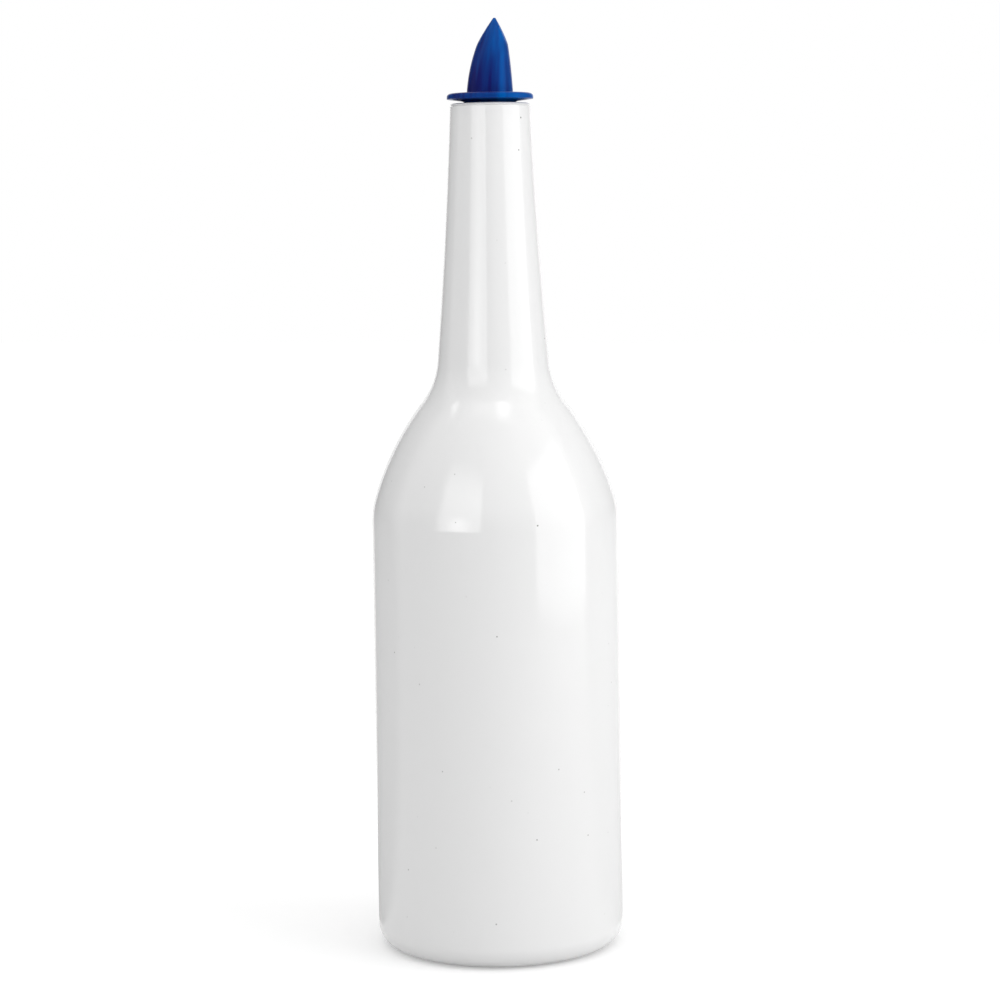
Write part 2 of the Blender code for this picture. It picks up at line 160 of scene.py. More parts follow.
# What mirrors show of them: name, place, size, the four fades, strength and hot spot
GLOWS = (
    ("left_softbox_glow", (-35.7, 0.0, 900.0, 555.0), (764.0, 990.0), (170.0, 25.0, 25.0, 420.0), 2.4,
     (3.0, (20.0, -370.0), 260.0)),
    ("right_softbox_glow", (62.0, 0.0, 700.0, 402.0), (735.0, 795.0), (60.0, 30.0, 10.0, 110.0), 1.9),
    ("side_lamp_glow", (-92.0, 52.0, 800.0, 176.0), (260.0, 130.0), (130.0, 130.0, 65.0, 65.0), 3.0),
    ("high_lamp_glow", (28.0, 67.5, 800.0, 176.0), (360.0, 190.0), (180.0, 180.0, 95.0, 95.0), 3.2),
    ("overhead_softbox_glow", (-10.0, 68.0, 810.0, 176.0), (1100.0, 170.0), (420.0, 420.0, 85.0, 85.0), 0.9),
)
# Flags: name, direction past the camera, distance, width, height, the foot's shade and the card's own
FLAGS = (
    ("left_flag", -125.0, 700.0, 780.0, 1300.0, 0.5, 0.05),
    ("right_flag", 118.0, 700.0, 840.0, 1300.0, 0.75, 0.1),
)
FLAG_FADE = 320.0
FLAG_FOOT_HEIGHT = 20.0
FLAG_SHADE_HEIGHT = 150.0
FLAG_CLEARANCE = 12.0
FLAG_LIFT = 0.3
ROOM_LIGHT = 0.715
FLOOR_REACH = 4000.0
FLOOR_DROP = 0.1
FLOOR_LIFT_NEAR = 0.3
FLOOR_LIFT_FAR = 0.52
FLOOR_LIFT_START = 150.0
FLOOR_LIFT_END = 1300.0
WHITE = (1.0, 1.0, 1.0, 1.0)


# ---- Curves ----


def ramp(start, end, count, last=True):
    """Even steps from start to end."""
    return np.linspace(start, end, count, endpoint=last)


def arc(centre, radius, start, end, count):
    """Points (r, z) = centre + radius (cos a, sin a) for even angles a from start to end."""
    a = ramp(start, end, count)
    return np.column_stack((centre[0] + radius * np.cos(a), centre[1] + radius * np.sin(a)))


def bowed(start, end, bow, share):
    """start + (end - start) s + 4 bow s (1 - s): a straight run with a parabola standing bow off its middle."""
    return start + (end - start) * share + 4.0 * bow * share * (1.0 - share)


def eased(share):
    """s s (3 - 2 s): an S-curve that is level at 0 and at 1."""
    return share * share * (3.0 - 2.0 * share)


def neck_slopes():
    """Slopes of the neck's arc at its root and at the rim: the chord's slope, plus and minus half the easing."""
    chord = math.atan2(NECK_ROOT - RIM_RADIUS, NECK_LENGTH)
    return chord + NECK_EASING / 2, chord - NECK_EASING / 2


def shoulder_slope():
    """The shoulder's steepest slope, at which three tangent arcs span the radii of the body and the neck.

    Its cosine is (the edge's part + the fillet's part - the drop in radius) / (curve radius + fillet radius).
    """
    root = neck_slopes()[0]
    drop = BODY_RADIUS - NECK_ROOT
    first = SHOULDER_EDGE * (1 - math.cos(SHOULDER_EDGE_TURN)) + SHOULDER_CURVE * math.cos(SHOULDER_EDGE_TURN)
    return math.acos((first + NECK_FILLET * math.cos(root) - drop) / (SHOULDER_CURVE + NECK_FILLET))


def shoulder(inset, counts):
    """Three tangent arcs from the straight side to the neck's root, and the height where they end.

    Each arc's centre is its first point minus its radius times its normal. inset draws them inwards by the wall.
    """
    root, steep = neck_slopes()[0], shoulder_slope()
    bends = ((SHOULDER_EDGE, 0.0, SHOULDER_EDGE_TURN), (SHOULDER_CURVE, SHOULDER_EDGE_TURN, steep),
             (-NECK_FILLET, steep, root))
    r, z = BODY_RADIUS, STRAIGHT_TOP
    rows = []
    for (radius, start, end), count in zip(bends, counts):
        centre = (r - radius * math.cos(start), z - radius * math.sin(start))
        rows.append(arc(centre, radius - inset, start, end, count))
        r = centre[0] + radius * math.cos(end)
        z = centre[1] + radius * math.sin(end)
    return np.vstack(rows), z


NECK_ROOT_Z = shoulder(0.0, (2, 2, 2))[1]
RIM_Z = NECK_ROOT_Z + NECK_LENGTH


def neck(top, inset, count):
    """The neck's long shallow arc from its root to the height top: sin(slope) falls evenly with height."""
    root, rim = neck_slopes()
    radius = NECK_LENGTH / (math.sin(root) - math.sin(rim))
    z = ramp(NECK_ROOT_Z, top, count)
    slope = np.arcsin(math.sin(root) - (z - NECK_ROOT_Z) / radius)
    return np.column_stack((NECK_ROOT - radius * (np.cos(slope) - math.cos(root)) - inset, z))


def push_up(radius):
    """Half a cosine wave from the axis to the foot ring."""
    edge = BODY_RADIUS - FOOT_CORNER - FOOT_RING
    return PUSH_UP * (0.5 + 0.5 * np.cos(np.pi * np.minimum(radius / edge, 1.0)))


def distinct(points):
    """The points without those that repeat the one before."""
    step = np.linalg.norm(np.diff(points, axis=0), axis=1)
    return points[np.concatenate(([True], step > 1e-6))]


def bottle_profile():
    """Section of the shell from the axis under the base, up the outside, over the rim and down the inside.

    A fine trim line runs round under the rim, as deep as it gets over the middle 0.3 of its height. The lip over it
    is a quarter ellipse: (r + a cos t, z + b sin t). The whole numbers are how many points each stretch gets.
    """
    corner = BODY_RADIUS - FOOT_CORNER
    ring = corner - FOOT_RING
    under, floor = ramp(0.0, ring, 30), ramp(ring, 0.0, 16)
    lip_z = RIM_Z - LIP_HEIGHT
    neck_side = neck(lip_z - TRIM_LINE, 0.0, 32)
    lip_r = neck_side[-1, 0] - LIP_ROUND
    line = neck_side[-1] + ((-TRIM_DEPTH, TRIM_LINE * 0.35), (-TRIM_DEPTH, TRIM_LINE * 0.65))
    lip = arc((0.0, 0.0), 1.0, 0.0, np.pi / 2, 12) * (LIP_ROUND, LIP_HEIGHT) + (lip_r, lip_z)
    flare, flare_top = ramp(0.0, 1.0, 14), RIM_Z - BORE_LENGTH
    inner_neck = neck(flare_top - BORE_FLARE, WALL, 16)[::-1]
    flare_r = BORE_RADIUS + (inner_neck[0, 0] - BORE_RADIUS) * eased(flare)
    return distinct(np.vstack((
        np.column_stack((under, push_up(under))),
        arc((corner, FOOT_CORNER), FOOT_CORNER, -np.pi / 2, 0.0, 20),
        np.column_stack((np.full(18, BODY_RADIUS), ramp(FOOT_CORNER, STRAIGHT_TOP, 18))),
        shoulder(0.0, (24, 34, 30))[0],
        neck_side, line, lip,
        arc((BORE_RADIUS + BORE_EDGE, RIM_Z - BORE_EDGE), BORE_EDGE, np.pi / 2, np.pi, 8),
        np.column_stack((flare_r, flare_top - BORE_FLARE * flare)),
        inner_neck,
        shoulder(WALL, (10, 16, 14))[0][::-1],
        arc((corner, FOOT_CORNER - WALL + BASE_WALL), FOOT_CORNER - WALL, 0.0, -np.pi / 2, 10),
        np.column_stack((floor, BASE_WALL + push_up(floor))),
    )))


def softened(corners, radii, count):
    """A closed line with each corner C turned into the curve (1-u)(1-u) A + 2u(1-u) C + u u B.

    A and B lie on the two edges at C, radius away from it or 0.45 of the edge, whichever is less. A corner of no
    radius stays one point.
    """
    c, r = np.asarray(corners, float), np.asarray(radii, float)
    across = (1,) * (c.ndim - 1)
    back, ahead = np.roll(c, 1, axis=0) - c, np.roll(c, -1, axis=0) - c
    reach = r.reshape((-1,) + across)
    a, b = (c + edge * np.minimum(reach, 0.45 * length) / np.maximum(length, 1e-9)
            for edge, length in ((side, np.linalg.norm(side, axis=-1, keepdims=True)) for side in (back, ahead)))
    u = ramp(0.0, 1.0, count).reshape((1, -1) + across)
    curve = (1 - u) ** 2 * a[:, None] + 2 * u * (1 - u) * c[:, None] + u ** 2 * b[:, None]
    kept = (r[:, None] > 0.0) | (np.arange(count)[None, :] == 0)
    return curve[kept]


# ---- Meshes ----


def turned(profile, columns):
    """Points (r cos t, r sin t, z) for every profile point (r, z) and every even angle t."""
    t = ramp(0.0, 2 * np.pi, columns, last=False)
    r, z = profile[:, :1], profile[:, 1:]
    return np.stack((r * np.cos(t), r * np.sin(t), np.broadcast_to(z, (len(profile), columns))), axis=-1)


def skin(name, points, finish, closed, lift=0.0):
    """A mesh object from a grid of points. Columns always close on themselves, and rows do where closed is set.

    Face (i, j) joins points (i, j), (i, j+1), (i+1, j+1) and (i+1, j). Points that fall together are merged, which
    closes the poles, and the faces are then turned outwards.
    """
    rows, columns = points.shape[:2]
    i = np.arange(rows if closed else rows - 1)[:, None] * columns
    j = np.arange(columns)[None, :]
    above, right = (i + columns) % (rows * columns), (j + 1) % columns
    faces = np.stack((i + j, i + right, above + right, above + j), axis=-1).reshape(-1, 4)
    mesh = bpy.data.meshes.new(name)
    mesh.from_pydata((points.reshape(-1, 3) + (0.0, 0.0, lift)) * MM, [], faces)
    shape = bmesh.new()
    shape.from_mesh(mesh)
    bmesh.ops.remove_doubles(shape, verts=shape.verts, dist=MERGE * MM)
    bmesh.ops.dissolve_degenerate(shape, edges=shape.edges, dist=MERGE * MM)
    bmesh.ops.recalc_face_normals(shape, faces=shape.faces)
    shape.to_mesh(mesh)
    shape.free()
    mesh.shade_smooth()
    mesh.set_sharp_from_angle(angle=CREASE)
    mesh.materials.append(finish)
    made = bpy.data.objects.new(name, mesh)
    bpy.context.scene.collection.objects.link(made)
    return made


def beak_half_width(h):
    """The smaller of two bowed tapers, rounded where they cross: (a + b)/2 - sqrt(((a - b)/2)^2 + softness^2)."""
    low = bowed(BEAK_BASE, CHEEK_HALF_WIDTH, CHEEK_BOW, h / CHEEK_HEIGHT)
    high = bowed(CHEEK_HALF_WIDTH, TIP_HALF_WIDTH, NIB_BOW, (h - CHEEK_HEIGHT) / (BEAK_HEIGHT - CHEEK_HEIGHT))
    return (low + high) / 2 - np.sqrt(((low - high) / 2) ** 2 + CHEEK_SOFTNESS ** 2)


def beak_lines(h):
    """Half-width, Y of the widest line and Y of the front at height h."""
    half = beak_half_width(h)
    back = bowed(-BEAK_BASE, TIP_REACH, -BACK_BOW, h / BEAK_HEIGHT)
    return half, back + half, BEAK_BASE + h * math.tan(FRONT_RAKE)


def beak_point(h, turn, inset):
    """The beak's wall: a half circle behind the widest line, and half an ellipse in front of it.

    x = (half - inset) sin t and y = widest - (depth - inset) cos t, with t from the back.
    """
    half, widest, front = beak_lines(h)
    depth = np.where(np.cos(turn) >= 0.0, half, front - widest)
    x = (half - inset) * np.sin(turn)
    y = widest - (depth - inset) * np.cos(turn)
    return np.stack((x, y, np.broadcast_to(FLANGE_TOP + h, x.shape)), axis=-1)


def scoop_y(h):
    """Y of the mouth's cut at height h: a bowed line from the lip to the nib."""
    lip = BEAK_BASE + MOUTH_LIP * math.tan(FRONT_RAKE)
    return bowed(lip, TIP_REACH + NIB_DEPTH, -MOUTH_SCOOP, (h - MOUTH_LIP) / (BEAK_HEIGHT - MOUTH_LIP))


def meeting_turn(h, inset):
    """Turn at which the wall meets the mouth's cut at height h: widest - (front - widest - inset) cos t = cut."""
    half, widest, front = beak_lines(h)
    return math.pi - math.acos((scoop_y(h) - widest) / (front - widest - inset))


def cut_height(turn, top, inset):
    """Height at which each line up the wall meets the mouth's cut, by halving, or top where it never does."""
    low, high = np.full(turn.shape, MOUTH_LIP * 0.9), np.full(turn.shape, float(top))
    for _ in range(50):
        middle = (low + high) / 2
        outside = beak_point(middle, turn, inset)[..., 1] > scoop_y(middle)
        low, high = np.where(outside, low, middle), np.where(outside, middle, high)
    return high


def bevelled(first, second, before, after, width):
    """Draws two rows apart along their edges, by width where they fall together and by less as they part."""
    gap = np.linalg.norm(second - first, axis=-1, keepdims=True)
    step = width * np.clip(1.0 - gap / width, 0.0, 1.0)
    down, on = before - first, after - second
    return (first + down * step / np.linalg.norm(down, axis=-1, keepdims=True),
            second + on * step / np.maximum(np.linalg.norm(on, axis=-1, keepdims=True), 1e-9))


def spout_turns(roof):
    """Turns round the axis from the back, with exact ones where the wall's two sides meet the nib's flat.

    Each of the two bands between them gets a twenty-fifth of the columns.
    """
    outer, inner = meeting_turn(BEAK_HEIGHT, 0.0), meeting_turn(roof, BEAK_WALL)
    band = SPOUT_COLUMNS // 25
    half = (SPOUT_COLUMNS - 2 * band) // 2
    return np.concatenate((
        ramp(-outer, outer, half, last=False),
        ramp(outer, inner, band, last=False),
        ramp(inner, 2 * np.pi - inner, SPOUT_COLUMNS - 2 * band - half, last=False),
        ramp(2 * np.pi - inner, 2 * np.pi - outer, band, last=False),
    ))


def spout_rows():
    """The spout moulding as one closed skin: stem, boss, flange, beak, the mouth's edge, hollow, funnel, passage.

    A row is a ring (r sin t, offset - r cos t) or a level of the beak's wall, with one point per turn t.
    """
    roof = CHEEK_HEIGHT + (BEAK_HEIGHT - CHEEK_HEIGHT) * (
        CHEEK_HALF_WIDTH - BEAK_WALL - NIB_CAVITY) / (CHEEK_HALF_WIDTH - TIP_HALF_WIDTH)
    turn = spout_turns(roof)
    wrapped = np.arctan2(np.sin(turn), np.cos(turn))

    def rings(sizes, offset=0.0):
        radius, z = np.array(sizes, float)[:, :1], np.array(sizes, float)[:, 1:2]
        return np.stack((radius * np.sin(turn), offset - radius * np.cos(turn), z + 0.0 * turn), axis=-1)

    # From the stem's foot up to the beak's root: radius, height, and how far the edge is softened.
    bead = STEM_RADIUS + BEAD_PROUD
    low_rings = np.array((
        (STEM_RADIUS, STEM_BOTTOM, 0.15),
        (bead, STEM_BOTTOM + BEAD_HEIGHT * 0.5, 0.15),
        (bead, STEM_BOTTOM + BEAD_HEIGHT * 0.75, 0.15),
        (STEM_RADIUS, STEM_BOTTOM + BEAD_HEIGHT, 0.1),
        (STEM_RADIUS, -BOSS_DEPTH, 0.1),
        (BOSS_BOTTOM_RADIUS, -BOSS_DEPTH, MOULDED_EDGE),
        (BOSS_BOTTOM_RADIUS + BOSS_FOOT, BOSS_FOOT, 0.4),
        (BOSS_TOP_RADIUS, FLANGE_LIFT - FLANGE_DROP, 0.4),
        (FLANGE_RADIUS, FLANGE_LIFT, 0.1),
        (FLANGE_RADIUS, FLANGE_LIFT + FLANGE_SIDE, 0.5),
        (FLANGE_RADIUS - FLANGE_ROUND, FLANGE_TOP - 0.01, 0.8),
        (BEAK_BASE + BEAK_FILLET / 2, FLANGE_TOP, 0.5),
    ))
    outer_top, inner_top = cut_height(wrapped, BEAK_HEIGHT, 0.0), cut_height(wrapped, roof, BEAK_WALL)
    wall = beak_point(BEAK_FILLET + (outer_top - BEAK_FILLET) * ramp(0.0, 1.0, 34)[:, None], turn, 0.0)
    lining = beak_point(BEAK_FILLET + (inner_top - BEAK_FILLET) * ramp(1.0, 0.0, 20)[:, None], turn, BEAK_WALL)
    brow, sill = wall[-1].copy(), lining[0].copy()
    brow[:, 1] = np.maximum(brow[:, 1], np.minimum(scoop_y(outer_top), scoop_y(BEAK_HEIGHT)))
    sill[:, 1] = np.maximum(sill[:, 1], np.minimum(scoop_y(inner_top), scoop_y(roof)))
    outer_edge = bevelled(wall[-1], brow, wall[-2], sill, MOULDED_EDGE)
    inner_edge = bevelled(sill, lining[0], brow, lining[1], MOULDED_EDGE)
    share = ramp(1.0, 0.0, 8)[1:, None, None]
    passage = rings(((PASSAGE_RADIUS, FLANGE_TOP + BEAK_FILLET - FUNNEL_DEPTH),), PASSAGE_OFFSET)
    funnel = passage + (lining[-1:] - passage) * eased(share)
    funnel[..., 2] = (passage + (lining[-1:] - passage) * share)[..., 2]
    outlet = rings(((PASSAGE_RADIUS, STEM_BOTTOM),), PASSAGE_OFFSET)
    parts = (
        (rings(low_rings[:, :2]), low_rings[:, 2]),
        (wall[:-1], 0.0),
        (np.stack(outer_edge + inner_edge), 0.15),
        (lining[1:], 0.0),
        (funnel, 0.0),
        (outlet, MOULDED_EDGE),
    )
    return softened(np.concatenate([rows for rows, _ in parts]),
                    np.concatenate([np.broadcast_to(radii, len(rows)) for rows, radii in parts]), 5)


def stopper_profile():
    """Closed section of the ribbed sleeve: down the outside over its fins, and up its bore."""
    bottom, core = STOPPER_TOP - STOPPER_LENGTH, BOSS_BOTTOM_RADIUS
    roots = STOPPER_TOP - FIN_FIRST - FIN_PITCH * np.arange(FIN_COUNT)
    fins = np.stack((
        np.broadcast_to((core, FIN_RADIUS, FIN_RADIUS, core), (FIN_COUNT, 4)),
        roots[:, None] + (FIN_ROOT / 2, FIN_SWEEP + FIN_TIP / 2, FIN_SWEEP - FIN_TIP / 2, -FIN_ROOT / 2),
    ), axis=-1).reshape(-1, 2)
    corners = np.vstack((
        (core, STOPPER_TOP), fins, (core - STOPPER_LEAD_DEPTH, bottom), (STOPPER_BORE, bottom),
        (STOPPER_BORE, STOPPER_TOP),
    ))
    return softened(corners, (0.3,) + (0.35, 0.22, 0.22, 0.35) * FIN_COUNT + (0.4, 0.15, 0.15), 6)


def tube_rows():
    """Outside up and bore down. At the lower end z rises by y + radius, which is a slanted cut of 45 degrees.

    All points within 1 mm of the end belong to it, because there are none between there and the top.
    """
    corners = ((TUBE_RADIUS, TUBE_BOTTOM), (TUBE_RADIUS, TUBE_TOP), (TUBE_BORE, TUBE_TOP), (TUBE_BORE, TUBE_BOTTOM))
    rows = turned(softened(corners, (0.12,) * 4, 5), TUBE_COLUMNS)
    low = rows[..., 2] < TUBE_BOTTOM + 1.0
    rows[..., 2] += np.where(low, rows[..., 1] + TUBE_RADIUS, 0.0)
    rows[..., 1] += TUBE_OFFSET
    return rows


def seam_rows():
    """Rings along X round the push-up's line, of radius SEAM_RADIUS sqrt(sin(pi s)), which closes both ends."""
    s, t = ramp(0.0, 1.0, 61)[:, None], ramp(0.0, 2 * np.pi, SEAM_COLUMNS, last=False)[None, :]
    x = SEAM_LENGTH * (s - 0.5)
    radius = SEAM_RADIUS * np.sqrt(np.maximum(np.sin(np.pi * s), 0.0))
    return np.stack((x + 0.0 * t, radius * np.cos(t), push_up(np.abs(x)) + radius * np.sin(t)), axis=-1)


# ---- Finishes ----


def linear(hex_colour):
    """sRGB hex to linear: c / 12.92 up to 0.04045, else ((c + 0.055) / 1.055) ^ 2.4."""
    c = np.array([int(hex_colour[k:k + 2], 16) for k in (0, 2, 4)]) / 255.0
    return (*np.where(c <= 0.04045, c / 12.92, ((c + 0.055) / 1.055) ** 2.4).tolist(), 1.0)


def add(tree, kind, inputs=None, **settings):
    """Adds a node and gives its outputs back.

    settings are its properties, and inputs gives a value or another node's output to each of its sockets.
    """
    made = tree.nodes.new("ShaderNode" + kind)
    for key, value in settings.items():
        setattr(made, key, value)
    for key, value in (inputs or {}).items():
        if isinstance(value, bpy.types.NodeSocket):
            tree.links.new(value, made.inputs[key])
        else:
            made.inputs[key].default_value = value
    return made.outputs


def new_finish(name):
    """An empty node material, and its tree."""
    made = bpy.data.materials.new(name)
    made.use_nodes = True
    made.node_tree.nodes.clear()
    return made, made.node_tree


def blow_moulded_white():
    """White blow-moulded polypropylene from a polished mould.

    The eye gets a clean gloss whose lights waver a little, a few dark flecks in the resin and a hair-fine line
    where the two halves of the mould met. Light spreads a little inside the wall, which softens narrow shadows.
    """
    made, tree = new_finish("blow_moulded_white_polypropylene")
    place = add(tree, "TexCoord")["Object"]
    # Flecks about 0.5 mm across, one to each 6 mm cell of the resin. Few lie at the surface, and most are faint.
    cells = add(tree, "TexVoronoi", {"Vector": place, "Scale": 1 / (6 * MM)})
    chance = add(tree, "SeparateColor", {"Color": cells["Color"]})["Red"]
    depth = add(tree, "Math", {0: chance, 1: 2.6}, operation="POWER")[0]
    spot = add(tree, "MapRange", {
        "Value": cells["Distance"], "From Min": 0.03, "From Max": 0.055, "To Min": 1.0, "To Max": 0.0})["Result"]
    fleck = add(tree, "Math", {0: depth, 1: spot}, operation="MULTIPLY")[0]
    colour = add(tree, "Mix", {0: fleck, 6: linear("e6e6e6"), 7: linear("4a4642")}, data_type="RGBA")[2]
    # Waver of the blown wall, about 14 mm long, and the polished mould's own grain, 0.8 mm.
    waver = add(tree, "TexNoise", {"Vector": place, "Scale": 1 / (14 * MM), "Detail": 1.0})["Fac"]
    fine = add(tree, "TexNoise", {"Vector": place, "Scale": 1 / (0.8 * MM), "Detail": 2.0})["Fac"]
    # The parting line lies where y is 0, and is 0.5 mm wide.
    off_line = add(tree, "Math", {0: add(tree, "SeparateXYZ", {"Vector": place})["Y"]}, operation="ABSOLUTE")[0]
    parting = add(tree, "MapRange", {"Value": off_line, "From Max": 0.25 * MM, "To Min": 1.0, "To Max": 0.0},
                  interpolation_type="SMOOTHSTEP")["Result"]
    normal = add(tree, "Bump", {"Height": waver, "Distance": 0.02 * MM})["Normal"]
    normal = add(tree, "Bump", {"Height": fine, "Distance": 0.002 * MM, "Normal": normal})["Normal"]
    normal = add(tree, "Bump", {"Height": parting, "Distance": 0.02 * MM, "Normal": normal})["Normal"]
    rough = add(tree, "MapRange", {"Value": waver, "To Min": 0.06, "To Max": 0.09})["Result"]
    shader = add(tree, "BsdfPrincipled", {
        "Base Color": colour, "Roughness": rough, "IOR": 1.49, "Normal": normal,
        "Subsurface Weight": 0.3, "Subsurface Radius": (1.0, 1.0, 1.0), "Subsurface Scale": 1.5 * MM})
    add(tree, "OutputMaterial", {"Surface": shader["BSDF"]})
    return made


def injection_moulded_blue():
    """Blue injection-moulded polypropylene.

    The pigment is a deep navy. Azure is painted light: the colour is painted lighter towards the side on the
    camera's right, which the right softbox lights, and up the beak towards the tip. A painted highlight streak runs
    up it.
    Flow lines run up the beak from the gate at its root, and the mould left a satin gloss.
    """
    made, tree = new_finish("injection_moulded_blue_polypropylene")
    place = add(tree, "TexCoord")["Object"]
    fine = add(tree, "TexNoise", {"Vector": place, "Scale": 1 / (0.35 * MM), "Detail": 2.0})["Fac"]
    # Flow lines: 1.8 mm across and as long as the beak, set so that their lighter bands also paint streaks of
    # highlight. A painted highlight streak lies 4 mm towards the lit side.
    along = add(tree, "Mapping", {
        "Vector": place, "Location": (2.4 * MM, 0.0, 0.0), "Scale": (1.0, 0.25, 0.04)})["Vector"]
    flow = add(tree, "TexNoise", {"Vector": along, "Scale": 1 / (1.8 * MM), "Detail": 1.0})["Fac"]
    # Painted light: how far a point lies towards the camera's right, the side that the right softbox lights.
    painted_light_side = add(tree, "VectorMath", {0: place, 1: (0.95, 0.31, 0.0)}, operation="DOT_PRODUCT")["Value"]
    past_painted_highlight = add(tree, "Math", {0: painted_light_side, 1: 4 * MM}, operation="SUBTRACT")[0]
    off_line = add(tree, "Math", {0: past_painted_highlight}, operation="ABSOLUTE")[0]
    rise = add(tree, "SeparateXYZ", {"Vector": place})["Z"]
    root, tip = (RIM_Z + FLANGE_TOP) * MM, (RIM_Z + FLANGE_TOP + BEAK_HEIGHT) * MM
    # The blend towards azure is a sum of painted light that grows towards the lit side and with height, of the flow
    # lines' tone, of the painted highlight streak, and of one even tone for the flange and all below it.
    shares = [
        add(tree, "MapRange", {
            "Value": cause, "From Min": start, "From Max": end, "To Min": low, "To Max": high},
            interpolation_type=slope)["Result"]
        for cause, start, end, low, high, slope in (
            (painted_light_side, -7 * MM, 7 * MM, -0.24, 0.4, "LINEAR"),
            (rise, root, tip, 0.0, 0.58, "LINEAR"),
            (flow, 0.3, 0.7, -0.22, 0.22, "LINEAR"),
            (off_line, 0.3 * MM, 1.4 * MM, 0.35, 0.0, "SMOOTHSTEP"),
            (rise, root - 0.5 * MM, root, 0.45, 0.0, "LINEAR"),
        )
    ]
    painted_light_and_tone = shares[0]
    for share in shares[1:]:
        painted_light_and_tone = add(tree, "Math", {0: painted_light_and_tone, 1: share}, operation="ADD")[0]
    # Navy where the painted light is least, and azure where it is most.
    colour = add(tree, "Mix", {0: painted_light_and_tone, 6: linear("16185c"), 7: linear("00509c")}, data_type="RGBA")[2]
    normal = add(tree, "Bump", {"Height": flow, "Distance": 0.01 * MM})["Normal"]
    normal = add(tree, "Bump", {"Height": fine, "Distance": 0.004 * MM, "Normal": normal})["Normal"]
    rough = add(tree, "MapRange", {"Value": fine, "To Min": 0.26, "To Max": 0.36})["Result"]
    shader = add(tree, "BsdfPrincipled", {
        "Base Color": colour, "Roughness": rough, "IOR": 1.49, "Normal": normal,
        "Specular IOR Level": 0.14, "Specular Tint": linear("4088ff"),
        "Subsurface Weight": 0.15, "Subsurface Radius": (0.05, 0.3, 1.0), "Subsurface Scale": 1.5 * MM})
    add(tree, "OutputMaterial", {"Surface": shader["BSDF"]})
    return made


def moulded_black_elastomer():
    """Black thermoplastic elastomer, moulded.

    The surface is matt with a faint bloom, so the fins read by their soft edges and not by highlights.
    """
    made, tree = new_finish("moulded_black_elastomer")
    place = add(tree, "TexCoord")["Object"]
    # Bloom in clouds of 5 mm, and a grain of 0.5 mm.
    bloom = add(tree, "TexNoise", {"Vector": place, "Scale": 1 / (5 * MM), "Detail": 2.0})["Fac"]
    fine = add(tree, "TexNoise", {"Vector": place, "Scale": 1 / (0.5 * MM), "Detail": 3.0})["Fac"]
    colour = add(tree, "Mix", {0: bloom, 6: linear("1b1b1d"), 7: linear("2b2b2d")}, data_type="RGBA")[2]
    rough = add(tree, "MapRange", {"Value": fine, "To Min": 0.48, "To Max": 0.62})["Result"]
    normal = add(tree, "Bump", {"Height": fine, "Distance": 0.01 * MM})["Normal"]
    shader = add(tree, "BsdfPrincipled", {"Base Color": colour, "Roughness": rough, "IOR": 1.5, "Normal": normal})
    add(tree, "OutputMaterial", {"Surface": shader["BSDF"]})
    return made


def extruded_clear_vinyl():
    """Clear extruded vinyl tube.

    Light passes with a slight haze, and fine lines from the die run along it.
    """
    made, tree = new_finish("extruded_clear_vinyl")
    place = add(tree, "TexCoord")["Object"]
    # Die lines: 0.25 mm across and 50 times as long.
    along = add(tree, "Mapping", {"Vector": place, "Scale": (1.0, 1.0, 0.02)})["Vector"]
    lines = add(tree, "TexNoise", {"Vector": along, "Scale": 1 / (0.25 * MM), "Detail": 1.0})["Fac"]
    rough = add(tree, "MapRange", {"Value": lines, "To Min": 0.10, "To Max": 0.20})["Result"]
    normal = add(tree, "Bump", {"Height": lines, "Distance": 0.01 * MM})["Normal"]
    shader = add(tree, "BsdfPrincipled", {
        "Base Color": linear("eef3f3"), "Roughness": rough, "IOR": 1.53, "Normal": normal,
        "Transmission Weight": 0.8})
    add(tree, "OutputMaterial", {"Surface": shader["BSDF"]})
    return made


# ---- Pieces ----


def make_pieces():
    """Every visible piece, attached to the body it moves with, and the imported solids they stand for hidden. The
    slot listed with each piece is not used.
    """
    white = blow_moulded_white()
    bottle = skin("blown_bottle", turned(bottle_profile(), BOTTLE_COLUMNS), white, False)
    seam = skin("pinched_base_seam", seam_rows(), white, False)
    spout = skin("beaked_spout", spout_rows(), injection_moulded_blue(), True, RIM_Z)
    fins = turned(stopper_profile(), STOPPER_COLUMNS)
    stopper = skin("ribbed_stopper", fins, moulded_black_elastomer(), True, RIM_Z)
    tube = skin("air_tube", tube_rows(), extruded_clear_vinyl(), True, RIM_Z)
    for piece, body, slot in ((bottle, "bottle", "white_plastic"), (seam, "bottle", "white_plastic"),
                              (spout, "spout", "blue_plastic"), (stopper, "stopper", "black_soft_plastic"),
                              (tube, "spout", "clear_plastic")):
        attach(piece, body)
    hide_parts("bottle_shell")
    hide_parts("pourer_spout")
    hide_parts("pourer_stopper")
    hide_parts("breather_tube")


# ---- Studio ----


def shown_directly(tree):
    """1 for rays from the camera, from a mirror-like surface or through a clear one, and 0 for the rest."""
    path = add(tree, "LightPath")
    first = add(tree, "Math", {0: path["Is Camera Ray"], 1: path["Is Glossy Ray"]}, operation="MAXIMUM")[0]
    return add(tree, "Math", {0: first, 1: path["Is Transmission Ray"]}, operation="MAXIMUM")[0]


